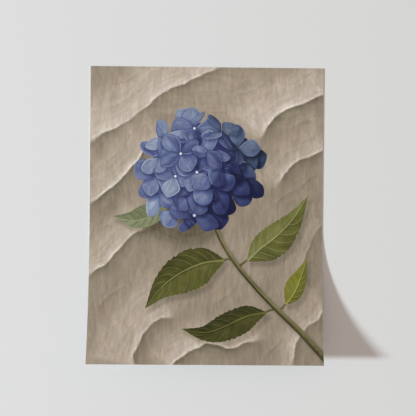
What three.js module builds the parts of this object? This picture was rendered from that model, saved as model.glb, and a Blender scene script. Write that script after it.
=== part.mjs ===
// An unframed art print: one sheet of heavy matt paper, lying face up, whose lower end curls up.
// Millimetres. X runs across the picture, Y up the picture, and Z up from the table.
import * as THREE from "three";

// ---- driving dimensions ----
const SHEET_WIDTH = 279.4; // 11 in, across the picture
const SHEET_HEIGHT = 355.6; // 14 in, up the picture, along the paper's underside
const PAPER_THICKNESS = 0.45; // heavy matt fine-art paper
const CURLED_SHARE = 0.47; // share of the height that has lifted, from the lower edge
const CURL_RISE = 28; // underside of the lower edge, above the table
const ARC_SEGMENTS = 12; // the curl gets twice as many steps

// ---- worked out from them ----
const CURL_LENGTH = SHEET_HEIGHT * CURLED_SHARE;
const FLAT_LENGTH = SHEET_HEIGHT - CURL_LENGTH;
const CURL_ANGLE = arcAngle(CURL_LENGTH, CURL_RISE);
const CURL_RADIUS = CURL_LENGTH / CURL_ANGLE;
const CURL_REACH = CURL_RADIUS * Math.sin(CURL_ANGLE);

// The angle of an arc of this length whose end rises this far off its starting tangent.
function arcAngle(length, rise) {
  let low = 0;
  let high = Math.PI / 2;
  for (let step = 0; step < 60; step += 1) {
    const angle = (low + high) / 2;
    const risen = (length / angle) * (1 - Math.cos(angle));
    if (risen < rise) low = angle;
    else high = angle;
  }
  return (low + high) / 2;
}

// The sheet seen from its edge, with the picture's height across and the rise upwards.
// The flat stretch lies on the table and the curl is a round arc tangent to it.
function sheetProfile() {
  const bendAt = (CURL_REACH - FLAT_LENGTH) / 2; // centres the whole sheet on the origin
  const topEdge = bendAt + FLAT_LENGTH;
  const tangent = -Math.PI / 2;
  const tip = tangent - CURL_ANGLE;
  const faceRadius = CURL_RADIUS - PAPER_THICKNESS;
  const profile = new THREE.Shape();
  profile.absarc(bendAt, CURL_RADIUS, CURL_RADIUS, tip, tangent, false);
  profile.lineTo(topEdge, 0);
  profile.lineTo(topEdge, PAPER_THICKNESS);
  profile.lineTo(bendAt, PAPER_THICKNESS);
  profile.absarc(bendAt, CURL_RADIUS, faceRadius, tangent, tip, true);
  profile.closePath();
  return profile;
}

function printSheet() {
  const geometry = new THREE.ExtrudeGeometry(sheetProfile(), {
    depth: SHEET_WIDTH,
    bevelEnabled: false,
    curveSegments: ARC_SEGMENTS,
  });
  geometry.translate(0, 0, -SHEET_WIDTH / 2);
  // The profile's two directions become Y and Z, and its depth becomes X.
  const acrossToY = new THREE.Matrix4().makeBasis(
    new THREE.Vector3(0, 1, 0),
    new THREE.Vector3(0, 0, 1),
    new THREE.Vector3(1, 0, 0),
  );
  geometry.applyMatrix4(acrossToY);
  const printedPaper = new THREE.MeshStandardMaterial({
    color: 0xa39582,
    roughness: 0.85,
    metalness: 0,
  });
  const sheet = new THREE.Mesh(geometry, printedPaper);
  sheet.name = "print_sheet";
  return sheet;
}

const artPrint = new THREE.Group();
artPrint.add(printSheet());

export default artPrint;
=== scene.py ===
"""An unframed art print: one sheet of heavy matt paper that lies face up, its lower end curled up.

The picture printed on it is a cut blue flower head lying on rumpled linen, in the manner of an oil
painting. It is drawn here as overlapping flat shapes, which are then merged into the sheet's own
faces, each painted in its own colour. Picture sizes are in millimetres from the sheet's lower left
corner, and tones are how light a paint looks, from 0 to 255. Everything else is in metres.
"""
import math

import bmesh
import bpy
import numpy as np
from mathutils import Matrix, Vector
from mathutils.geometry import delaunay_2d_cdt


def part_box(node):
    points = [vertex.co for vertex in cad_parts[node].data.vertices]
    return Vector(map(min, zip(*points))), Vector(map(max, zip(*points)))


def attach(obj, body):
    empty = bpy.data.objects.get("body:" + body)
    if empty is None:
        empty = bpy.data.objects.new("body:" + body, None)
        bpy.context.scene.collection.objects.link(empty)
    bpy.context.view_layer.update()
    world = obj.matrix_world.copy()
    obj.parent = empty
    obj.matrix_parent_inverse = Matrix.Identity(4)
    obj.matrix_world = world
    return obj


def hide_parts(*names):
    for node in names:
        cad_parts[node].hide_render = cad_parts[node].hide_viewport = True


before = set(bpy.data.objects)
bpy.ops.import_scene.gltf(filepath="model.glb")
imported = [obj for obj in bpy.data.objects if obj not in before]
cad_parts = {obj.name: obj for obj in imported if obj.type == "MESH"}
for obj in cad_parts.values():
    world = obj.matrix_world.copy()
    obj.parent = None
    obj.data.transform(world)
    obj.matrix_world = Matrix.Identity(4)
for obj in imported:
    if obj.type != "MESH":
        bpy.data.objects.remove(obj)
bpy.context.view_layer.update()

# ---- the sheet, as the frame has it ----
SHEET_LOW, SHEET_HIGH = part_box("print_sheet")
SHEET_WIDTH = SHEET_HIGH[0] - SHEET_LOW[0]
SHEET_HEIGHT = 0.3556  # along the paper
PAPER_THICKNESS = 0.00045
CURL_LENGTH = 0.47 * SHEET_HEIGHT  # from the lower edge
CURL_RISE = 0.028

# ---- the picture, in millimetres ----
MM = 0.001
PICTURE_WIDTH = SHEET_WIDTH / MM
PICTURE_HEIGHT = SHEET_HEIGHT / MM
CLOTH_GRAIN = 1.7  # spacing of the points that carry the cloth's colour
FLOWER_GRAIN = 1.3
EDGE_GRAIN = 3.0
PETAL_SEED = 11
NUDGE = 0.06  # how far inside its face a corner's colour is read
TO_LIGHT = np.array((-0.62, 0.52, 0.59))  # the painted light comes from the upper left

rng = np.random.default_rng(7)  # for patches, dabs and scattered points
petal_rng = np.random.default_rng(PETAL_SEED)
leaf_rng = np.random.default_rng(11)


# ---- paints: the same few mixed on the palette, from dark to light ----
def paint_box(*mixes):
    """A row of paints, each as (tone, red, green, blue) in screen values."""
    rows = np.array(mixes, float)
    return rows[:, 0], rows[:, 1:]


LINEN = paint_box(
    (50, 60, 50, 36), (72, 84, 74, 56), (90, 100, 91, 74), (112, 121, 111, 95), (131, 141, 128, 111),
    (152, 163, 149, 132), (168, 178, 164, 148), (189, 198, 185, 173), (206, 215, 203, 193),
    (226, 233, 225, 217),
)
VIOLET = paint_box(
    (26, 22, 25, 56), (36, 33, 36, 74), (50, 45, 50, 91), (70, 62, 70, 112), (90, 80, 89, 132),
    (110, 101, 111, 148), (130, 120, 131, 160), (150, 139, 150, 173), (180, 170, 180, 196),
    (225, 220, 225, 232),
)
TEAL = paint_box(
    (26, 22, 27, 45), (50, 40, 52, 76), (66, 56, 68, 94), (88, 76, 90, 116), (110, 98, 110, 136),
    (150, 134, 148, 168), (225, 218, 226, 232),
)
LEAF_GREEN = paint_box(
    (22, 24, 25, 10), (38, 39, 40, 16), (54, 55, 55, 24), (74, 76, 76, 34), (93, 95, 95, 45),
    (112, 113, 114, 61), (131, 131, 134, 88), (160, 160, 164, 120),
)
SAGE = paint_box(
    (50, 52, 53, 36), (72, 72, 73, 50), (94, 95, 97, 69), (115, 113, 118, 86), (132, 129, 135, 102),
    (148, 146, 151, 121), (175, 174, 178, 152),
)
STALK = paint_box(
    (40, 43, 39, 22), (70, 74, 69, 40), (95, 100, 94, 60), (112, 118, 111, 76), (135, 141, 134, 98),
)
LIME = paint_box(
    (40, 44, 42, 14), (70, 76, 72, 24), (95, 99, 97, 34), (118, 121, 121, 46), (145, 148, 148, 76),
    (170, 172, 172, 110),
)


def mixed(paints, tone):
    """The colour of these paints at each tone."""
    tones, colours = paints
    return np.stack([np.interp(tone, tones, colours[:, i]) for i in range(3)], axis=-1)


def blended(first, second, share):
    return first + (second - first) * np.asarray(share)[..., None]


def as_light(colours):
    """Screen values as linear light, which is what a material mixes."""
    part = np.clip(colours / 255, 0, 1)
    return np.where(part <= 0.04045, part / 12.92, ((part + 0.055) / 1.055) ** 2.4)


def ease(value, start, end):
    """0 before start, 1 past end, and smooth between. start may be the larger."""
    part = np.clip((value - start) / (end - start), 0, 1)
    return part * part * (3 - 2 * part)


class Mottle:
    """Soft random patches between -1 and 1, about one patch a cell."""

    def __init__(self, cell, cell_up=None):
        self.cells = np.array((cell, cell_up or cell))
        self.table = rng.uniform(-1, 1, (64, 64))

    def __call__(self, points):
        at = points / self.cells + 500
        low = np.floor(at).astype(int)
        part = at - low
        part = part * part * (3 - 2 * part)
        i, j = (low % 64).T
        k, m = ((low + 1) % 64).T
        x, y = part.T
        lower = self.table[i, j] * (1 - x) + self.table[k, j] * x
        upper = self.table[i, m] * (1 - x) + self.table[k, m] * x
        return lower * (1 - y) + upper * y


class Dabs:
    """Brush dabs: long cells, each with its own change of tone, up to the given strength."""

    def __init__(self, length, width, strength):
        self.size = np.array((length, width))
        self.table = rng.uniform(-strength, strength, (64, 64))
        self.starts = rng.uniform(0, 64, 64)

    def __call__(self, strokes):
        at = strokes / self.size + 500
        row = np.floor(at[:, 1]).astype(int) % 64
        column = np.floor(at[:, 0] + self.starts[row]).astype(int) % 64
        return self.table[column, row]


FINE_MOTTLE = Mottle(5)
LEAF_MOTTLE = Mottle(14, 9)
CREST_MOTTLE = Mottle(13, 5)
CREST_DABS = Dabs(18, 2.6, 10.0)
WAVERS = [(Mottle(11), 1.3), (Mottle(4), 0.6)]  # how far a hand-drawn crest wanders, and how often


# ---- drawing tools ----
def spline(p, steps):
    """A smooth line from the second point to the last but one."""
    t = np.arange(steps)[:, None] / steps
    stretches = []
    for a, b, c, d in zip(p, p[1:], p[2:], p[3:]):
        stretches.append(
            b + t * (c - a) / 2 + t**2 * (a - 2.5 * b + 2 * c - d / 2) + t**3 * (1.5 * (b - c) + (d - a) / 2)
        )
    return np.vstack(stretches)


def smooth_line(points, steps=10):
    """A smooth line through the points, with this many steps from each to the next."""
    p = np.array(points, float)
    return np.vstack([spline(np.vstack([2 * p[0] - p[1], p, 2 * p[-1] - p[-2]]), steps), p[-1:]])


def smooth_loop(points, steps=7):
    """A smooth closed line through the points."""
    p = np.array(points, float)
    return spline(np.vstack([p[-1:], p, p[:2]]), steps)


def left_of(line):
    """The unit vector to the left of the line, at each of its points."""
    run = np.gradient(line, axis=0)
    run /= np.linalg.norm(run, axis=1)[:, None]
    return np.stack([-run[:, 1], run[:, 0]], axis=1)


def beside_line(points, line):
    """For each point, how far along the line it lies, from 0 to 1, and how far to its left."""
    steps = np.diff(line, axis=0)
    lengths = np.linalg.norm(steps, axis=1)
    start = np.concatenate([[0], np.cumsum(lengths)])
    nearest = np.full(len(points), np.inf)
    along = np.zeros(len(points))
    side = np.zeros(len(points))
    for a, step, length, begun in zip(line, steps, lengths, start):
        off = points - a
        part = np.clip(off @ step / length**2, 0, 1)
        gap = np.hypot(*(off - part[:, None] * step).T)
        turn = (step[0] * off[:, 1] - step[1] * off[:, 0]) / length
        nearer = gap < nearest
        nearest[nearer] = gap[nearer]
        along[nearer] = (begun + part * length)[nearer] / start[-1]
        side[nearer] = (np.sign(turn) * gap)[nearer]
    return along, side


def depth_and_place(points, outline):
    """How deep inside a closed outline each point lies, less than 0 outside it, and the nearest place
    on the outline, counted in its points."""
    nearest = np.full(len(points), np.inf)
    place = np.zeros(len(points))
    inside = np.zeros(len(points), bool)
    for number, (a, b) in enumerate(zip(outline, np.roll(outline, -1, axis=0))):
        step = b - a
        off = points - a
        part = np.clip(off @ step / max(step @ step, 1e-12), 0, 1)
        gap = np.hypot(*(off - part[:, None] * step).T)
        nearer = gap < nearest
        nearest[nearer] = gap[nearer]
        place[nearer] = number + part[nearer]
        spans = (a[1] > points[:, 1]) != (b[1] > points[:, 1])
        if spans.any():
            crossing = a[0] + (points[:, 1] - a[1]) * step[0] / (step[1] if step[1] else 1)
            inside ^= spans & (points[:, 0] < crossing)
    return np.where(inside, nearest, -nearest), place


def depth_inside(points, outline):
    return depth_and_place(points, outline)[0]


def near(points, outline, reach):
    """Which points lie within reach of the outline's box."""
    low = outline.min(axis=0) - reach
    high = outline.max(axis=0) + reach
    return ((points >= low) & (points <= high)).all(axis=1)


def width_along(*places):
    """Half a width that passes smoothly through each (along, half width)."""
    line = smooth_line(places)
    return lambda along: np.interp(along, line[:, 0], np.maximum(line[:, 1], 0.12))


# ---- the flower head ----
HEAD_CENTRE = np.array((130.0, 233.0))
HEAD_REACH = np.array((60.0, 55.0))  # of the outermost florets' middles, across and up
HEAD_SPAN = 82.0  # to the outermost tips
HEAD_HEIGHT = 42.0
FLORET_RINGS = ((1, 0.0), (6, 0.48), (14, 0.92))  # how many florets, and how far out
OPEN_EYES = (0, 2, 3, 4, 8, 10, 12, 15)  # the florets whose pale eye may show, if on the lit side
SEPAL_LENGTH = 31.0
SEPAL_WIDTH = 28.0
SEPAL_STEPS = 11
OCCLUSION_SHIFT = np.array((-1.3, 1.5))  # from a point towards the painted light
SEPAL_TONE = 74  # where no light falls
SEPAL_GAIN = 66  # more where the painted light falls full on
HEART_REACH = 0.66 * HEAD_SPAN  # of the dark depth behind the florets
HEART_TONE = 58
EYE_RADIUS = 1.6
EYE_HOLLOW = 3.0  # the dark ring that the eye sits in
PETAL_DABS = Dabs(11, 2.0, 13.0)


class Sepal:
    """One petal-like sepal of a floret: a broad rounded blade, drawn as it is seen from above."""

    def __init__(self, base, length_way, width_way, lift, facing):
        self.base = base[:2]
        self.lift = lift
        self.facing = facing
        self.length_way = length_way
        self.width_way = width_way
        self.axes = np.stack([length_way[:2], width_way[:2]], axis=1)
        self.fullest = petal_rng.uniform(1.0, 1.3)
        self.bluntness = petal_rng.uniform(0.5, 0.8)
        self.bend = petal_rng.uniform(-0.16, 0.16)
        self.lopsided = petal_rng.uniform(-0.16, 0.16)
        self.ripple = petal_rng.uniform(0.0, 0.09)
        self.ripple_at = petal_rng.uniform(0, 6.28)
        self.mood = petal_rng.normal(0, 8)
        self.glow_at = (petal_rng.uniform(0.45, 0.75), petal_rng.uniform(-0.5, 0.5))
        self.glow = petal_rng.choice([0, 10, 20, 34], p=[0.25, 0.3, 0.25, 0.2])
        self.crease = petal_rng.choice([0, 8, 12, -11, -18])
        self.rim = petal_rng.choice([6, 16, 32])
        self.rim_side = petal_rng.choice([-1, 1])
        self.cup = petal_rng.uniform(0.15, 0.5)
        self.outline = self.edge_at(1.0)
        self.above = []

    def half_width(self, along, side):
        along = np.clip(along, 0, 1)
        swell = np.sin(np.pi * along**self.fullest) ** self.bluntness
        claw = 1 - 0.5 * np.exp(-7 * along)
        waver = 1 + self.ripple * np.sin(9 * along + self.ripple_at + side)
        return 0.5 * swell * claw * waver * (1 + self.lopsided * side)

    def edge_at(self, share):
        """The outline, or a smaller one inside it."""
        turn = np.linspace(0, np.pi, SEPAL_STEPS + 1)
        along = (1 - np.cos(turn)) / 2
        middle = self.bend * along**2
        right = np.stack([along, middle - self.half_width(along, -1) * share], axis=1)
        left = np.stack([along, middle + self.half_width(along, 1) * share], axis=1)[-2:0:-1]
        ring = np.vstack([right, left])
        ring[:, 0] = 0.5 + (ring[:, 0] - 0.5) * share
        return self.base + ring @ self.axes.T

    def place(self, points):
        """Where points lie on the sepal: along it from 0 to 1, and across from -1 to 1."""
        along, across = np.linalg.solve(self.axes, (points - self.base).T)
        aside = across - self.bend * along**2
        half = np.maximum(self.half_width(along, np.sign(aside)), 0.05)
        return along, aside / half

    def paint(self, points):
        along, across = self.place(points)
        tilt = self.facing + self.cup * np.outer(along - 0.55, self.length_way / SEPAL_LENGTH)
        tilt = tilt + 0.5 * self.cup * np.outer(across, self.width_way / SEPAL_WIDTH)
        tilt /= np.linalg.norm(tilt, axis=1)[:, None]
        lit = np.clip(tilt @ TO_LIGHT, 0, 1)
        out = (points - HEAD_CENTRE) / HEAD_SPAN
        away = ease(out @ (0.86, -0.5), -0.02, 0.7)
        low = ease(out[:, 1], 0.15, -0.6)
        tone = SEPAL_TONE + SEPAL_GAIN * lit**1.2 + self.mood * (1 + 1.6 * away) + 7 * away
        tone -= 18 * ease(along, 0.3, 0.0)
        u, v = self.glow_at
        patch = np.exp(-((along - u) ** 2 / 0.05 + (across - v) ** 2 / 0.2))
        tone += self.glow * patch
        tone += self.crease * ease(across, -0.07, 0.07) * ease(along, 0.0, 0.25)
        depth = depth_inside(points, self.outline)
        facing_edge = ease(across * self.rim_side, 0.1, 0.6)
        tone += self.rim * ease(depth, 1.5, 0.7) * facing_edge
        tone -= 8 * ease(depth, 1.4, 0.3) * (1 - facing_edge)
        tone += 5 * FINE_MOTTLE(points) + PETAL_DABS(self.strokes(points) * (1, 2))
        shade = np.zeros(len(points))
        for other in self.above:
            close = near(points, other.outline, 7)
            if close.any():
                under = depth_inside(points[close] + OCCLUSION_SHIFT, other.outline)
                touching = depth_inside(points[close], other.outline)
                cast = 0.75 * ease(under, -4.5, 0.3) + 0.4 * ease(touching, -1.5, -0.3)
                shade[close] = np.maximum(shade[close], cast)
        tone = tone * (1 - away * (0.33 + 0.25 * low)) - (6 + 0.3 * tone) * shade
        cool = np.clip(ease(out @ (0.75, 0.66), 0.35, 0.75) + 0.15 * FINE_MOTTLE(points * 0.7), 0, 1)
        return blended(mixed(VIOLET, tone), mixed(TEAL, tone), cool)

    def strokes(self, points):
        along, across = self.place(points)
        return np.stack([along * SEPAL_LENGTH, across * 6], axis=1) + self.base * 3

    def guides(self):
        spine = np.linspace(0.1, 0.9, 7)
        middle = np.stack([spine, self.bend * spine**2], axis=1)
        return [(self.edge_at(0.9), True), (self.base + middle @ self.axes.T, False)]


class Disc:
    """A small painted disc, such as the eye of a floret."""

    def __init__(self, centre, radius, lift, paints, tone, sides=12, uneven=0.0):
        turn = np.arange(sides) * 2 * np.pi / sides
        reach = radius * (1 + uneven * rng.uniform(-1, 1, sides))
        self.outline = np.array(centre) + np.stack([np.cos(turn), np.sin(turn)], axis=1) * reach[:, None]
        self.centre = np.array(centre)
        self.radius = radius
        self.lift = lift
        self.paints = paints
        self.tone = tone

    def paint(self, points):
        out = (points - self.centre) / self.radius
        return mixed(self.paints, self.tone + 12 * (out @ (-0.6, 0.5)))

    def strokes(self, points):
        return points

    def guides(self):
        return []


def floret_seats():
    """The middle of each floret on the dome of the head, and the way that the dome faces there."""
    seats = []
    for count, reach in FLORET_RINGS:
        first_turn = petal_rng.uniform(0, 6.28)
        for number in range(count):
            turn = first_turn + (number + petal_rng.uniform(-0.16, 0.16)) * 2 * math.pi / count
            out = reach * petal_rng.uniform(0.93, 1.05)
            flat = out * np.array((math.cos(turn), math.sin(turn)))
            rise = math.sqrt(max(0.0, 1 - (0.88 * out) ** 2))
            facing = np.append(flat * 0.7, 1.0)
            seats.append((np.append(HEAD_CENTRE + flat * HEAD_REACH, HEAD_HEIGHT * rise), facing))
    return seats


def floret(seat, facing, eyed):
    """The four sepals of a floret, two lying over the other two, and its pale eye."""
    seat = seat + petal_rng.normal(0, (2.0, 2.0, 6.0))
    facing = facing + petal_rng.normal(0, 0.14, 3)
    facing /= np.linalg.norm(facing)
    spin = petal_rng.uniform(0, 6.28)
    first = np.cross(facing, (math.cos(spin), math.sin(spin), 0.3))
    first /= np.linalg.norm(first)
    second = np.cross(facing, first)
    size = petal_rng.uniform(0.84, 1.04)
    opening = petal_rng.uniform(0.05, 0.4)
    sepals = []
    for quarter in range(4):
        turn = quarter * math.pi / 2 + petal_rng.normal(0, 0.14)
        way = math.cos(turn) * first + math.sin(turn) * second
        lean = opening + petal_rng.normal(0, 0.12)
        length_way = math.cos(lean) * way + math.sin(lean) * facing
        width_way = np.cross(facing, way)
        roll = petal_rng.normal(0, 0.38)
        width_way = math.cos(roll) * width_way + math.sin(roll) * facing
        face = np.cross(length_way, width_way)
        face /= np.linalg.norm(face)
        long = SEPAL_LENGTH * size * petal_rng.uniform(0.88, 1.1)
        wide = SEPAL_WIDTH * size * petal_rng.uniform(0.84, 1.08)
        lift = seat[2] + 0.5 * long * length_way[2] + (2.5 if quarter % 2 else 0)
        start = seat + way * 0.8
        sepals.append(Sepal(start, length_way * long, width_way * wide, lift, face))
    pieces = list(sepals)
    if eyed:
        top = max(sepal.lift for sepal in sepals)
        pieces.append(Disc(seat[:2], EYE_HOLLOW, top + 0.1, VIOLET, 74))
        pieces.append(Disc(seat[:2], EYE_RADIUS, top + 0.2, VIOLET, 212))
    return pieces


class ShadedHeart(Disc):
    """The dark depth of the head behind its florets, darkest at its lower right."""

    def paint(self, points):
        out = (points - self.centre) / self.radius
        return mixed(self.paints, self.tone * (1 - 0.5 * ease(out @ (0.86, -0.5), -0.2, 0.7)))


def flower_head():
    pieces = [ShadedHeart(HEAD_CENTRE, HEART_REACH, 0, VIOLET, HEART_TONE, sides=40, uneven=0.04)]
    for number, (seat, facing) in enumerate(floret_seats()):
        lit_side = seat[0] < HEAD_CENTRE[0] + 15
        pieces += floret(seat, facing, lit_side and number in OPEN_EYES)
    sepals = [piece for piece in pieces if isinstance(piece, Sepal)]
    for sepal in sepals:
        middle = sepal.outline.mean(axis=0)
        for other in sepals:
            apart = np.hypot(*(other.outline.mean(axis=0) - middle))
            if other.lift > sepal.lift and apart < 2 * SEPAL_LENGTH:
                sepal.above.append(other)
    return pieces


# ---- leaves, stalks and single brush strokes ----
class Ribbon:
    """A strip of paint along a spine: a leaf, a stalk or one stroke. Its sides can differ."""

    def __init__(self, spine, widths, lift, paints, tones, **looks):
        self.line = smooth_line(spine)
        self.left_width, self.right_width = widths if isinstance(widths, tuple) else (widths, widths)
        self.lift = lift
        self.paints = paints
        self.right_tone, self.left_tone = tones
        self.teeth = looks.get("teeth", 0)
        self.veins = looks.get("veins", 0)
        self.roundness = looks.get("roundness", 0.0)
        self.rim = looks.get("rim", 0)
        self.patchiness = looks.get("patchiness", 5)
        self.length = np.hypot(*np.diff(self.line, axis=0).T).sum()
        self.outline = self.edge()

    def at(self, along, across):
        """The place this far along the ribbon, and across it from -1 at its right edge to 1."""
        run = np.linspace(0, 1, len(self.line))
        spot = np.array([np.interp(along, run, self.line[:, i]) for i in (0, 1)])
        aside = np.array([np.interp(along, run, left_of(self.line)[:, i]) for i in (0, 1)])
        half = np.where(np.asarray(across) > 0, self.left_width(along), self.right_width(along))
        return (spot + aside * half * across).T

    def edge(self):
        count = max(len(self.line), 4 * self.teeth + 1)
        along = np.linspace(0, 1, count)
        sides = []
        for across in (-1, 1):
            notch = 0
            if self.teeth:
                depth = 0.05 + 0.07 * leaf_rng.random(self.teeth + 1)
                tooth = along * self.teeth + 0.25 * np.sin(7 * along + across)
                notch = depth[np.clip(tooth.astype(int), 0, self.teeth)] * (tooth % 1)
            sides.append(self.at(along, across * (1 - notch * np.ones(count))))
        outline = np.vstack([sides[0], sides[1][::-1]])
        gaps = np.hypot(*(outline - np.roll(outline, 1, axis=0)).T)
        return np.clip(outline[gaps > 0.2], 0, (PICTURE_WIDTH, PICTURE_HEIGHT))

    def place(self, points):
        """Along the ribbon from 0 to 1, across it from -1 to 1, and how far left of its spine."""
        along, side = beside_line(points, self.line)
        half = np.where(side > 0, self.left_width(along), self.right_width(along))
        return along, np.clip(side / np.maximum(half, 0.4), -1.2, 1.2), side

    def tone(self, points):
        along, across, side = self.place(points)
        tone = np.where(side > 0, self.left_tone, self.right_tone)
        tone = tone + self.roundness * (0.35 * across - across**2)
        if self.veins:
            wave = (along * self.veins - np.abs(across) * 1.3 + (side > 0) * 0.4) % 1
            tone = tone + 8 * (ease(wave, 0.0, 0.3) - ease(wave, 0.55, 1.0)) * ease(np.abs(across), 0, 0.3)
            tone = tone - 6 * np.abs(across) ** 2
        tone = tone + self.patchiness * (LEAF_MOTTLE(points) + 0.6 * FINE_MOTTLE(points))
        if self.rim:
            tone = tone + self.rim * ease(depth_inside(points, self.outline), 1.3, 0.5) * np.sign(side)
        return tone

    def paint(self, points):
        return mixed(self.paints, self.tone(points))

    def strokes(self, points):
        along, across, side = self.place(points)
        if not self.veins:
            return np.stack([along * self.length, side * 1.5], axis=1)
        slant = np.abs(side)
        return np.stack([slant * 0.9 + along * 20, along * self.length - slant * 0.8], axis=1)

    def guides(self):
        return []


def taper(half):
    """A brush stroke's half width: thin where it starts and ends."""
    return width_along((0, 0.15), (0.3, half), (0.7, half * 0.8), (1, 0.12))


def veined(leaf, count, tone, shadow, half=0.5):
    """A leaf with its rib and the veins that leave it on both sides, each with a shaded lower edge."""
    strokes = [leaf]
    over = leaf.lift + 0.1
    rib = leaf.at(np.linspace(0.0, 0.97, 9), np.zeros(9))
    strokes.append(Ribbon(rib + (0.3, -1.0), taper(0.8), over, leaf.paints, (shadow, shadow)))
    strokes.append(Ribbon(rib, width_along((0, 1.2), (0.5, 0.8), (1, 0.2)), over + 0.1, leaf.paints,
                          (tone + 12, tone + 20)))
    for number in range(count):
        for side in (1, -1):
            start = 0.1 + 0.72 * (number + 0.25 * side) / count + leaf_rng.uniform(-0.01, 0.01)
            along = start + np.array((0.0, 0.045, 0.1, 0.17))
            vein = leaf.at(np.clip(along, 0.02, 0.98), side * np.array((0.02, 0.35, 0.65, 0.9)))
            strokes.append(Ribbon(vein + (0.1, -0.7), taper(half), over, leaf.paints, (shadow, shadow)))
            strokes.append(Ribbon(vein, taper(half), over + 0.1, leaf.paints, (tone, tone)))
    return strokes


def streaked(ribbon, count, spread, half=0.7):
    """A ribbon with lighter and darker strokes of the brush along it."""
    strokes = [ribbon]
    for number in range(count):
        across = -0.8 + 1.6 * (number + 0.5) / count + leaf_rng.uniform(-0.1, 0.1)
        start = leaf_rng.uniform(0.02, 0.5)
        along = np.linspace(start, min(0.97, start + leaf_rng.uniform(0.25, 0.5)), 6)
        line = ribbon.at(along, np.full(6, across))
        tone = ribbon.tone(line[3:4])[0] + leaf_rng.choice([-1, 1]) * leaf_rng.uniform(0.4, 1) * spread
        wide = taper(half * leaf_rng.uniform(0.6, 1.3))
        over = ribbon.lift + 0.2 + number * 0.01
        strokes.append(Ribbon(line, wide, over, ribbon.paints, (tone, tone)))
    return strokes


def leaf(spine, half, lift, paints, tones, lean=0.1):
    """A toothed oval leaf with a pointed tip, fuller on one side by the lean."""
    places = ((0, 0.06), (0.12, 0.5), (0.26, 0.88), (0.42, 1.0), (0.62, 0.84), (0.84, 0.36), (1, 0))
    left, right = (width_along(*((along, wide * half * share) for along, wide in places))
                   for share in (1 + lean, 1 - lean))
    return Ribbon(spine, (left, right), lift, paints, tones, teeth=18, veins=7, rim=5, patchiness=7)


def stalk(spine, half, lift):
    return Ribbon(spine, width_along((0, half), (0.6, half), (1, 1.5 * half)), lift, STALK, (84, 112),
                  roundness=14)


def greenery():
    """The stem with its leaves in opposite pairs, as the plant grows, and a small leaf by the head."""
    stem = Ribbon(
        [(146, 176), (158, 148), (176, 120), (200, 92), (226, 65), (252, 40), (274, 16), (286, 2)],
        width_along((0, 2.2), (0.5, 3.0), (0.75, 3.8), (1, 4.2)), 3, STALK, (78, 106), roundness=22,
    )
    upper_left = leaf([(162, 124), (138, 121), (112, 110), (88, 92), (68, 66)], 25, 4, LEAF_GREEN, (66, 82))
    upper_right = leaf([(190, 124), (206, 139), (224, 153), (244, 174), (262, 202)], 20, 4.6, LEAF_GREEN,
                       (86, 108), -0.15)
    lower_left = leaf([(212, 62), (190, 58), (164, 46), (140, 38), (112, 42)], 17, 5, LEAF_GREEN, (54, 64))
    lower_right = leaf([(236, 72), (246, 86), (254, 104), (262, 128)], 12, 5.4, LIME, (92, 112), 0.2)
    head_leaf = leaf([(92, 186), (74, 178), (52, 172), (28, 176)], 14, 5.8, SAGE, (114, 128), -0.1)
    return [
        *streaked(stem, 12, 26),
        stalk([(160, 124), (168, 126), (174, 123)], 1.5, 2.6),
        stalk([(192, 126), (184, 120), (180, 116)], 1.5, 2.5),
        stalk([(210, 62), (220, 66), (227, 64)], 1.4, 2.4),
        stalk([(237, 74), (232, 68), (228, 63)], 1.3, 2.3),
        *veined(upper_left, 7, 104, 48), *veined(upper_right, 6, 126, 70), *veined(lower_left, 6, 80, 40),
        *veined(lower_right, 5, 128, 76), *veined(head_leaf, 5, 98, 148),
    ]


# ---- the linen cloth ----
class Drape:
    """A plane of the cloth. Each point of its outline is (x, y, softness), so that it has a crisp crest
    and melts away on its other sides. Past a crisp edge it shades the cloth that it lies over."""

    def __init__(self, outline, plane_tone, crest=(0, 8), shade=(0, 8)):
        loop = smooth_loop(outline)
        self.outline = loop[:, :2].copy()
        for waver, far in WAVERS:
            self.outline += far * np.stack([waver(loop[:, :2]), waver(loop[:, 1::-1])], axis=1)
        self.softness = np.maximum(np.append(loop[:, 2], loop[0, 2]), CRISP)
        steps = np.hypot(*(np.roll(self.outline, -1, axis=0) - self.outline).T)
        self.run = np.concatenate([[0], np.cumsum(steps)])
        self.plane_tone = plane_tone
        self.crest_gain, self.crest_width = crest
        self.shade_loss, self.shade_width = shade

    def crests(self):
        """The stretches of the outline that are sharp."""
        sharp = self.softness[:-1] < 2
        breaks = np.flatnonzero(np.diff(sharp.astype(int))) + 1
        runs = np.split(np.arange(len(sharp)), breaks)
        size = (PICTURE_WIDTH - 0.5, PICTURE_HEIGHT - 0.5)
        return [np.clip(self.outline[run], 0.5, size) for run in runs if sharp[run[0]] and len(run) > 2]

    def lay(self, tone, points):
        """Lays the plane over the tones at these points."""
        close = near(points, self.outline, max(3 * self.shade_width, self.softness.max()))
        depth, place = depth_and_place(points[close], self.outline)
        softness = np.interp(place, np.arange(len(self.softness)), self.softness)
        crisp = ease(softness, 7, 1)
        along = np.interp(place, np.arange(len(self.run)), self.run)
        strokes = np.stack([along, depth], axis=1)
        broken = CREST_MOTTLE(strokes)
        deep = np.maximum(depth + 1.5 * broken, 0)
        crest = self.crest_gain * (1 + 0.45 * broken) * np.exp(-deep / self.crest_width) * crisp
        fine_crest = 1.1 * self.crest_gain * np.exp(-deep / (1.4 + 0.7 * broken)) * crisp
        below = np.minimum(depth, 0)
        shade = np.exp(below / (self.shade_width * (1 + 0.4 * broken))) + 0.8 * np.exp(below / 1.8)
        under = tone[close] - self.shade_loss * shade * crisp
        brushed = CREST_DABS(strokes) * np.exp(-np.abs(depth) / 26) * ease(depth, -12, 2)
        inside = self.plane_tone + crest + fine_crest + brushed
        tone[close] = under + (inside - under) * ease(depth, -softness, softness)


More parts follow.
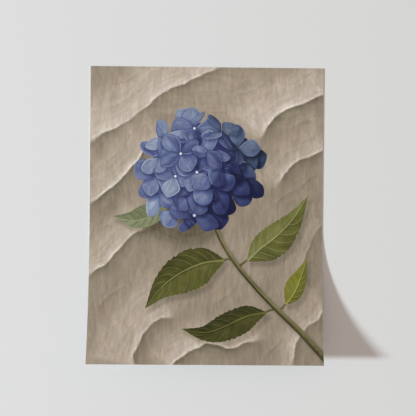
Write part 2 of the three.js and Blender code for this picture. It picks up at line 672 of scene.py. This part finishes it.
LINEN_TONE = 139.0
CRISP = 0.25  # the softness of the sharpest crests
FOLD_END_SOFTNESS = 6.0
FOLD_FAR_SOFTNESS = 16.0
CREASE_GAIN = 9.0  # of tone
CREASE_WIDTH = 6.0
SHADOW_SHIFT = np.array((4.0, -5.0))  # from what casts it to its shadow


def fold(spine, width, plane_tone, crest, shade):
    """A long fold, lit to the right of its spine, with the cloth in its shadow to the left."""
    line = smooth_line(spine, 2)
    far = (line - left_of(line) * width)[::-1]
    softness = np.ones(len(line))
    softness[[0, -1]] = FOLD_END_SOFTNESS
    ridge = np.column_stack([line, softness])
    melting = np.column_stack([far, np.full(len(far), FOLD_FAR_SOFTNESS)])
    return Drape(np.vstack([ridge, melting]), plane_tone, crest, shade)


def linen_drapes():
    """The cloth's folds, in painter's order. They run down to the left, across the painted light."""
    edge = PICTURE_WIDTH + 4
    return [
        # the calm cloth at the top
        Drape([(-4, 300, 30), (60, 350, 30), (200, 350, 30), (edge, 330, 30), (edge, 290, 30),
               (60, 290, 30)], 150),
        fold([(160, 362), (122, 340), (84, 322), (42, 288), (-6, 266)], 44, 172, (26, 8), (26, 12)),
        fold([(90, 276), (62, 250), (30, 214), (-6, 190)], 34, 158, (44, 6), (34, 9)),
        fold([(286, 330), (256, 314), (226, 300), (202, 272)], 36, 174, (34, 6), (38, 9)),
        fold([(286, 262), (266, 250), (244, 240), (222, 214)], 26, 158, (36, 6), (30, 9)),
        fold([(286, 176), (268, 152), (258, 120), (262, 84)], 30, 142, (14, 8), (14, 10)),
        # the dark hollow that the head rests over
        Drape([(60, 168, 14), (90, 188, 6), (130, 186, 8), (156, 158, 12), (124, 142, 16), (84, 150, 16)],
              92),
        fold([(66, 164), (44, 146), (20, 118), (-6, 104)], 30, 160, (34, 6), (30, 8)),
        fold([(100, 62), (76, 46), (60, 22), (52, -6)], 46, 166, (24, 8), (26, 10)),
        fold([(204, 34), (170, 20), (140, 24), (112, 10), (96, -6)], 26, 168, (30, 6), (32, 7)),
        fold([(286, 72), (272, 54), (250, 30), (240, -6)], 18, 160, (24, 6), (22, 8)),
    ]


class Crease:
    """A fine crease: the cloth is lit to the left of the line and in shade to its right."""

    def __init__(self, points, gain, width):
        self.line = smooth_line(points, 5)
        self.gain = gain
        self.width = width

    def lay(self, tone, points):
        """Adds the crease to the tones at these points."""
        close = np.flatnonzero(near(points, self.line, self.width))
        along, side = beside_line(points[close], self.line)
        strength = ease(along, 0, 0.3) * ease(along, 1, 0.6)
        fall = np.clip(1 - np.abs(side) / self.width, 0, 1) ** 1.5
        tone[close] += self.gain * fall * strength * np.where(side > 0, 1, -1.2)


def linen_creases():
    """The fine creases between the folds."""
    lines = [
        [(8, 300), (38, 314), (72, 340)], [(20, 334), (44, 340), (66, 354)],
        [(168, 322), (196, 330), (222, 350)], [(6, 232), (30, 250), (54, 274)],
        [(4, 158), (26, 168), (50, 190)], [(236, 282), (256, 292), (278, 296)],
        [(250, 208), (262, 222), (278, 232)], [(216, 186), (232, 202), (256, 214)],
        [(8, 64), (28, 84), (50, 96)], [(14, 18), (30, 44), (52, 60)],
        [(96, 84), (128, 88), (150, 100)], [(150, 74), (168, 84), (176, 98)],
        [(120, 28), (146, 34), (170, 30)], [(206, 8), (222, 22), (236, 40)],
        [(232, 120), (238, 142), (254, 160)],
    ]
    return [Crease(line, CREASE_GAIN, CREASE_WIDTH) for line in lines]


class Linen:
    """The cloth behind everything: its planes laid in order, with soft shadows of what lies on it."""

    def __init__(self, casters):
        self.drapes = linen_drapes()
        self.creases = linen_creases()
        self.casters = casters
        self.wander = Mottle(60, 90)
        self.patches = [Mottle(22, 46), Mottle(8, 20), Mottle(3.2, 10)]
        self.dabs = [Dabs(13, 5, 2.4), Dabs(7, 2.4, 2.4)]

    def tone(self, points):
        strokes = self.strokes(points)
        tone = np.full(len(points), LINEN_TONE)
        for layer in [*self.drapes, *self.creases]:
            layer.lay(tone, points)
        for patch, change in zip(self.patches, (4, 3, 2)):
            tone += change * patch(points)
        for dabs in self.dabs:
            tone += dabs(strokes)
        shade = np.zeros(len(points))
        for outline, softness, depth in self.casters:
            close = near(points, outline, softness + 9)
            if close.any():
                under = depth_inside(points[close] - SHADOW_SHIFT, outline)
                shade[close] = np.maximum(shade[close], depth * ease(under, -softness, softness * 0.4))
        return tone * (1 - shade)

    def paint(self, points):
        return mixed(LINEN, self.tone(points))

    def strokes(self, points):
        sway = 5 * self.wander(points)
        return np.stack([points[:, 1] + sway, points[:, 0] + sway], axis=1)


# ---- merging the picture into the sheet ----
def sheet_border():
    """Points round the edge of the sheet, corner first and evenly spaced along each side."""
    across = max(1, round(PICTURE_WIDTH / EDGE_GRAIN))
    up = max(1, round(PICTURE_HEIGHT / EDGE_GRAIN))
    x = np.linspace(0, PICTURE_WIDTH, across + 1)[:-1]
    y = np.linspace(0, PICTURE_HEIGHT, up + 1)[:-1]
    low = np.stack([x, 0 * x], axis=1)
    right = np.stack([0 * y + PICTURE_WIDTH, y], axis=1)
    size = np.array((PICTURE_WIDTH, PICTURE_HEIGHT))
    return np.vstack([low, right, size - low, size - right])


def grain_points():
    """Scattered points, closer together on the flower, that carry the colours between outlines."""
    points = []
    size = np.array((PICTURE_WIDTH, PICTURE_HEIGHT))
    for grain, on_flower in ((CLOTH_GRAIN, False), (FLOWER_GRAIN, True)):
        count = np.floor(size / grain).astype(int)
        across, up = np.meshgrid(np.arange(1, count[0]), np.arange(1, count[1]))
        grid = np.stack([across.ravel(), up.ravel()], axis=1) * size / count
        grid[:, 0] += (up.ravel() % 2) * grain / 2
        grid += rng.uniform(-0.22, 0.22, grid.shape) * grain
        from_head = np.hypot(*(grid - HEAD_CENTRE).T)
        kept = (from_head < HEAD_SPAN * 1.02) == on_flower
        kept &= (grid > 1).all(axis=1) & (grid < size - 1).all(axis=1)
        points.append(grid[kept])
    return np.vstack(points)


def merged(shapes, linen):
    """The picture as one flat net of triangles that no outline crosses."""
    points = [grain_points()]
    edges = []

    def add_line(line, closed):
        start = sum(len(p) for p in points)
        points.append(line)
        steps = [(start + i, start + i + 1) for i in range(len(line) - 1)]
        edges.extend(steps + [(start + len(line) - 1, start)] * closed)

    add_line(sheet_border(), True)
    for drape in linen.drapes:
        for crest in drape.crests():
            add_line(crest, False)
    for shape in shapes:
        for line, closed in [(shape.outline, True), *shape.guides()]:
            add_line(line, closed)
    spots = [Vector(p) for p in np.vstack(points)]
    net = delaunay_2d_cdt(spots, edges, [], 0, 1e-3, False)
    corners = np.array([v[:] for v in net[0]])
    return corners, np.array([f[:] for f in net[2]])


def colours_and_strokes(corners, triangles, shapes, linen):
    """Each triangle corner's colour and its place along and across the brush strokes."""
    places = corners[triangles]
    middles = places.mean(axis=1)
    top = np.full(len(triangles), -1)
    lift = np.full(len(triangles), -np.inf)
    for number, shape in enumerate(shapes):
        close = np.flatnonzero(near(middles, shape.outline, 0) & (lift < shape.lift))
        inside = close[depth_inside(middles[close], shape.outline) > 0]
        top[inside] = number
        lift[inside] = shape.lift
    inward = middles[:, None] - places
    gap = np.linalg.norm(inward, axis=2, keepdims=True)
    read_at = places + inward * np.minimum(1, NUDGE / np.maximum(gap, 1e-9))
    colours = np.zeros((*triangles.shape, 3))
    strokes = np.zeros((*triangles.shape, 2))
    for number in np.unique(top):
        painter = linen if number < 0 else shapes[number]
        chosen = top == number
        spots = read_at[chosen].reshape(-1, 2)
        colours[chosen] = painter.paint(spots).reshape(-1, 3, 3)
        strokes[chosen] = painter.strokes(spots).reshape(-1, 3, 2)
    return as_light(colours).reshape(-1, 3), strokes.reshape(-1, 2) * MM


# ---- the sheet itself ----
def arc_angle(length, rise):
    """The angle of an arc of this length whose end rises this far off its starting tangent."""
    low, high = 0.0, math.pi / 2
    for _ in range(60):
        angle = (low + high) / 2
        if length / angle * (1 - math.cos(angle)) < rise:
            low = angle
        else:
            high = angle
    return (low + high) / 2


CURL_ANGLE = arc_angle(CURL_LENGTH, CURL_RISE)
CURL_RADIUS = CURL_LENGTH / CURL_ANGLE
BEND_AT = SHEET_LOW[1] + CURL_RADIUS * math.sin(CURL_ANGLE)
CURL_STEPS = 24


def curled(flat):
    """Flat places, x across, y up the paper and z below its face, on the curled sheet."""
    x, up, below = flat.T
    depth = PAPER_THICKNESS + below
    lifted = np.maximum(CURL_LENGTH - up, 0) / CURL_RADIUS
    radius = CURL_RADIUS - depth
    y = np.where(up < CURL_LENGTH, -radius * np.sin(lifted), up - CURL_LENGTH) + BEND_AT
    z = np.where(up < CURL_LENGTH, CURL_RADIUS - radius * np.cos(lifted), depth)
    return np.stack([x, y, z], axis=1)


def select_only(piece):
    bpy.ops.object.select_all(action="DESELECT")
    piece.select_set(True)
    bpy.context.view_layer.objects.active = piece


def places_of(mesh):
    places = np.empty(len(mesh.vertices) * 3)
    mesh.vertices.foreach_get("co", places)
    return places.reshape(-1, 3)


def flat_sheet(corners, triangles, colours, strokes):
    """The painted face as a flat mesh, its border extruded down and the back closed with one face."""
    mesh = bpy.data.meshes.new("printed_sheet")
    face = np.column_stack([corners * MM - (SHEET_WIDTH / 2, 0), np.zeros(len(corners))])
    mesh.from_pydata(face.tolist(), [], triangles.tolist())
    paint = mesh.color_attributes.new("paint", "FLOAT_COLOR", "CORNER")
    paint.data.foreach_set("color", np.column_stack([colours, np.ones(len(colours))]).ravel())
    mesh.uv_layers.new(name="strokes")
    mesh.uv_layers["strokes"].uv.foreach_set("vector", strokes.ravel())
    piece = bpy.data.objects.new("printed_sheet", mesh)
    bpy.context.collection.objects.link(piece)
    select_only(piece)
    bpy.ops.object.mode_set(mode="EDIT")
    bpy.ops.mesh.select_all(action="DESELECT")
    bpy.ops.mesh.select_mode(type="EDGE")
    bpy.ops.mesh.select_non_manifold()
    bpy.ops.mesh.extrude_region_move(TRANSFORM_OT_translate={"value": (0, 0, -PAPER_THICKNESS)})
    bpy.ops.mesh.edge_face_add()
    cut_back_into_strips(mesh)
    bpy.ops.mesh.select_all(action="SELECT")
    bpy.ops.mesh.normals_make_consistent(inside=False)
    bpy.ops.object.mode_set(mode="OBJECT")
    return piece


def cut_back_into_strips(mesh):
    """Cuts the back, which is selected, across at each step of the curl, and into triangles."""
    net = bmesh.from_edit_mesh(mesh)
    back = [face for face in net.faces if face.select]
    for step in range(1, CURL_STEPS + 1):
        cut_at = (0, CURL_LENGTH * step / CURL_STEPS, 0)
        whole = {part for face in back for part in (face, *face.edges, *face.verts)}
        cut = bmesh.ops.bisect_plane(net, geom=list(whole), plane_co=cut_at, plane_no=(0, 1, 0))
        back = [part for part in cut["geom"] if isinstance(part, bmesh.types.BMFace)]
    bmesh.ops.triangulate(net, faces=back)
    bmesh.update_edit_mesh(mesh)


# ---- where each face of the sheet lies on its own map, for finishes that are laid on it ----
MAP_MARGIN = 0.006
FACE_SHARE = 0.745  # of the map's width, for the printed face
BACK_SHARE = 0.225
WALL_DEPTH = 0.004  # of the map, for the paper's thickness


def lay_out(piece):
    """Gives every face its finish and its place on the map, from the flat sheet."""
    mesh = piece.data
    vertex = np.empty(len(mesh.loops), int)
    mesh.loops.foreach_get("vertex_index", vertex)
    start = np.empty(len(mesh.polygons), int)
    mesh.polygons.foreach_get("loop_start", start)
    count = np.empty(len(mesh.polygons), int)
    mesh.polygons.foreach_get("loop_total", count)
    normals = np.empty(len(mesh.polygons) * 3)
    mesh.polygons.foreach_get("normal", normals)
    normals = normals.reshape(-1, 3)
    x, y, z = places_of(mesh)[vertex].T
    u = x / SHEET_WIDTH + 0.5
    v = y / SHEET_HEIGHT
    deep = -z / PAPER_THICKNESS * WALL_DEPTH
    tall = SHEET_HEIGHT / SHEET_WIDTH
    column = FACE_SHARE + 2 * MAP_MARGIN
    facing = np.repeat(normals, count, axis=0)
    back = facing[:, 2] < -0.5
    sideways = np.abs(facing[:, 0]) > 0.5
    endways = np.abs(facing[:, 1]) > 0.5
    above_back = BACK_SHARE * tall + 2 * MAP_MARGIN
    map_u = MAP_MARGIN + u * FACE_SHARE
    map_v = MAP_MARGIN + v * FACE_SHARE * tall
    map_u = np.where(back, column + u * BACK_SHARE, map_u)
    map_v = np.where(back, MAP_MARGIN + v * BACK_SHARE * tall, map_v)
    wall = above_back + 2 * MAP_MARGIN * ((facing[:, 0] + facing[:, 1]) > 0) + deep
    map_v = np.where(endways, wall, map_v)
    map_u = np.where(endways, column + u * BACK_SHARE, map_u)
    upright = column + 2 * MAP_MARGIN * ((facing[:, 0] + facing[:, 1]) > 0) + deep
    map_u = np.where(sideways, upright, map_u)
    map_v = np.where(sideways, above_back + 5 * MAP_MARGIN + v * 0.5, map_v)
    mesh.uv_layers.new(name="OFBake")
    mesh.uv_layers["OFBake"].uv.foreach_set("vector", np.column_stack([map_u, map_v]).ravel())
    mesh.polygons.foreach_set("material_index", (normals[:, 2] < 0.5).astype(np.int32))


# ---- finishes ----
class Finish:
    """A node material under construction, with short ways to add what this scene's finishes need."""

    def __init__(self, name, roughness, specular):
        self.material = bpy.data.materials.new(name)
        self.material.use_nodes = True
        self.nodes = self.material.node_tree.nodes
        self.links = self.material.node_tree.links
        self.shader = self.nodes["Principled BSDF"]
        self.shader.inputs["Roughness"].default_value = roughness
        self.shader.inputs["Specular IOR Level"].default_value = specular

    def add(self, kind, settings=None, **inputs):
        node = self.nodes.new(kind)
        for name, value in (settings or {}).items():
            setattr(node, name, value)
        for name, value in inputs.items():
            self.feed(node.inputs[name.replace("_", " ")], value)
        return node

    def feed(self, socket, value):
        if isinstance(value, bpy.types.NodeSocket):
            self.links.new(value, socket)
        else:
            socket.default_value = value

    def math(self, operation, *values):
        node = self.add("ShaderNodeMath", {"operation": operation})
        for socket, value in zip(node.inputs, values):
            self.feed(socket, value)
        return node.outputs[0]

    def noise(self, place, scale, detail, roughness=0.5, warp=0.0):
        node = self.add("ShaderNodeTexNoise", Scale=1.0, Detail=detail, Roughness=roughness)
        self.feed(node.inputs["Vector"], self.stretched(place, scale))
        node.inputs["Distortion"].default_value = warp
        return node.outputs["Fac"]

    def stretched(self, place, scale):
        return self.add("ShaderNodeMapping", Vector=place, Scale=scale).outputs["Vector"]

    def span(self, value, low, high):
        """Takes a value between 0 and 1 to one between low and high."""
        node = self.add("ShaderNodeMapRange", Value=value)
        node.inputs["To Min"].default_value = low
        node.inputs["To Max"].default_value = high
        return node.outputs["Result"]


def printed_picture():
    """The painted colours, broken up by bristle streaks and dabs, as matt ink on toothed paper."""
    ink = Finish("printed_picture", 0.8, 0.15)
    paint = ink.add("ShaderNodeAttribute", {"attribute_name": "paint"}).outputs["Color"]
    stroke = ink.add("ShaderNodeUVMap", {"uv_map": "strokes"}).outputs["UV"]
    place = ink.add("ShaderNodeTexCoord").outputs["Object"]
    bristles = ink.span(ink.noise(stroke, (200, 800, 1), 3.0, 0.6, 0.4), 0.84, 1.16)
    broad = ink.span(ink.noise(stroke, (60, 260, 1), 2.0, 0.5, 0.5), 0.925, 1.075)
    dab_place = ink.stretched(stroke, (75, 300, 1))
    dabs = ink.add("ShaderNodeTexVoronoi", {"feature": "SMOOTH_F1"}, Vector=dab_place, Scale=1.0,
                   Smoothness=0.35).outputs["Color"]
    dab_value = ink.span(ink.add("ShaderNodeSeparateColor", Color=dabs).outputs[0], 0.91, 1.09)
    linen_up = ink.span(ink.noise(place, (900, 60, 60), 2.0), 0.95, 1.05)
    strength = ink.math("MULTIPLY", ink.math("MULTIPLY", bristles, broad), dab_value)
    strength = ink.math("MULTIPLY", strength, linen_up)
    warm = ink.add("ShaderNodeHueSaturation", Color=paint, Value=strength)
    ink.feed(warm.inputs["Saturation"], ink.span(ink.noise(stroke, (50, 170, 1), 2.0), 0.8, 1.2))
    ink.feed(warm.inputs["Hue"], ink.span(ink.noise(stroke, (30, 120, 1), 2.0), 0.49, 0.51))
    ink.feed(ink.shader.inputs["Base Color"], warm.outputs["Color"])
    ink.feed(ink.shader.inputs["Roughness"], ink.span(ink.noise(place, (240, 240, 240), 3.0), 0.72, 0.88))
    tooth = ink.noise(place, (1500, 1500, 1500), 2.0)
    bump = ink.add("ShaderNodeBump", Height=tooth, Strength=0.12, Distance=0.0003)
    ink.feed(ink.shader.inputs["Normal"], bump.outputs["Normal"])
    return ink.material


def bare_paper():
    """The unprinted back and the cut edges: warm white cotton paper with faint fibres and clouding."""
    paper = Finish("bare_paper", 0.9, 0.2)
    place = paper.add("ShaderNodeTexCoord").outputs["Object"]
    clouds = paper.noise(place, (30, 30, 30), 4.0)
    fibres = paper.noise(place, (420, 1400, 420), 3.0, 0.6, 1.2)
    both = paper.math("ADD", paper.math("MULTIPLY", clouds, 0.5), paper.math("MULTIPLY", fibres, 0.5))
    ramp = paper.add("ShaderNodeValToRGB", Fac=both)
    ramp.color_ramp.elements[0].position = 0.3
    ramp.color_ramp.elements[0].color = (0.72, 0.70, 0.65, 1)
    ramp.color_ramp.elements[1].position = 0.7
    ramp.color_ramp.elements[1].color = (0.84, 0.82, 0.78, 1)
    paper.feed(paper.shader.inputs["Base Color"], ramp.outputs["Color"])
    paper.feed(paper.shader.inputs["Roughness"], paper.span(fibres, 0.82, 0.96))
    tooth = paper.noise(place, (1100, 1100, 1100), 3.0)
    bump = paper.add("ShaderNodeBump", Height=tooth, Strength=0.2, Distance=0.0003)
    paper.feed(paper.shader.inputs["Normal"], bump.outputs["Normal"])
    return paper.material


def printed_sheet():
    shapes = greenery() + flower_head()
    broad = [shape for shape in shapes if isinstance(shape, Ribbon) and shape.length > 60]
    head = [shape for shape in shapes if isinstance(shape, ShadedHeart)][0]
    linen = Linen([*((shape.outline, 4, 0.16) for shape in broad), (head.outline, 14, 0.2)])
    corners, triangles = merged(shapes, linen)
    colours, strokes = colours_and_strokes(corners, triangles, shapes, linen)
    piece = flat_sheet(corners, triangles, colours, strokes)
    lay_out(piece)
    piece.data.vertices.foreach_set("co", curled(places_of(piece.data)).ravel())
    piece.data.materials.append(printed_picture())
    piece.data.materials.append(bare_paper())
    piece.data.update()
    select_only(piece)
    bpy.ops.object.shade_smooth_by_angle(angle=math.radians(30))
    return piece


# ---- floor, light and camera ----
FLOOR_SIZE = 12.0
FLOOR_DROP = 0.0002  # keeps the sheet's flat back clear of the floor
KEY_PLACE = Vector((-7.4, -0.6, 2.77))  # low on the left, for a long shadow on the right
CAMERA_PLACE = (-0.0104, 0.0218, 1.0)
CAMERA_TURN = (-0.827, -0.72, 0.519)  # in degrees


def floor():
    bpy.ops.object.select_all(action="DESELECT")
    bpy.ops.mesh.primitive_plane_add(size=FLOOR_SIZE, location=(0, 0, -FLOOR_DROP))
    ground = bpy.context.object
    ground.name = "floor"
    pale = Finish("pale_floor", 0.9, 0.1)
    pale.shader.inputs["Base Color"].default_value = (0.685, 0.685, 0.685, 1)
    ground.data.materials.append(pale.material)


def lights():
    world = bpy.data.worlds.new("studio")
    bpy.context.scene.world = world
    world.use_nodes = True
    sky = world.node_tree.nodes["Background"]
    sky.inputs["Color"].default_value = (1.0, 0.86, 0.77, 1)
    sky.inputs["Strength"].default_value = 0.54
    lamp = bpy.data.lights.new("key_softbox", "AREA")
    lamp.shape = "DISK"
    lamp.size = 0.8
    lamp.energy = 1080
    lamp.color = (0.79, 0.915, 0.985)
    lamp_object = bpy.data.objects.new("key_softbox", lamp)
    bpy.context.collection.objects.link(lamp_object)
    lamp_object.location = KEY_PLACE
    lamp_object.rotation_euler = KEY_PLACE.to_track_quat("Z", "Y").to_euler()


def camera():
    """Looks straight down on the sheet, its lower edge nearest the bottom of the view."""
    lens = bpy.data.cameras.new("camera")
    lens.sensor_width = 36
    lens.lens = 72
    lens.clip_end = 30
    view = bpy.data.objects.new("camera", lens)
    bpy.context.collection.objects.link(view)
    view.location = CAMERA_PLACE
    view.rotation_euler = [math.radians(angle) for angle in CAMERA_TURN]
    bpy.context.scene.camera = view


bpy.context.scene.view_settings.view_transform = "Standard"
camera()
floor()
lights()
sheet = printed_sheet()
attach(sheet, "root")
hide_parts("print_sheet")
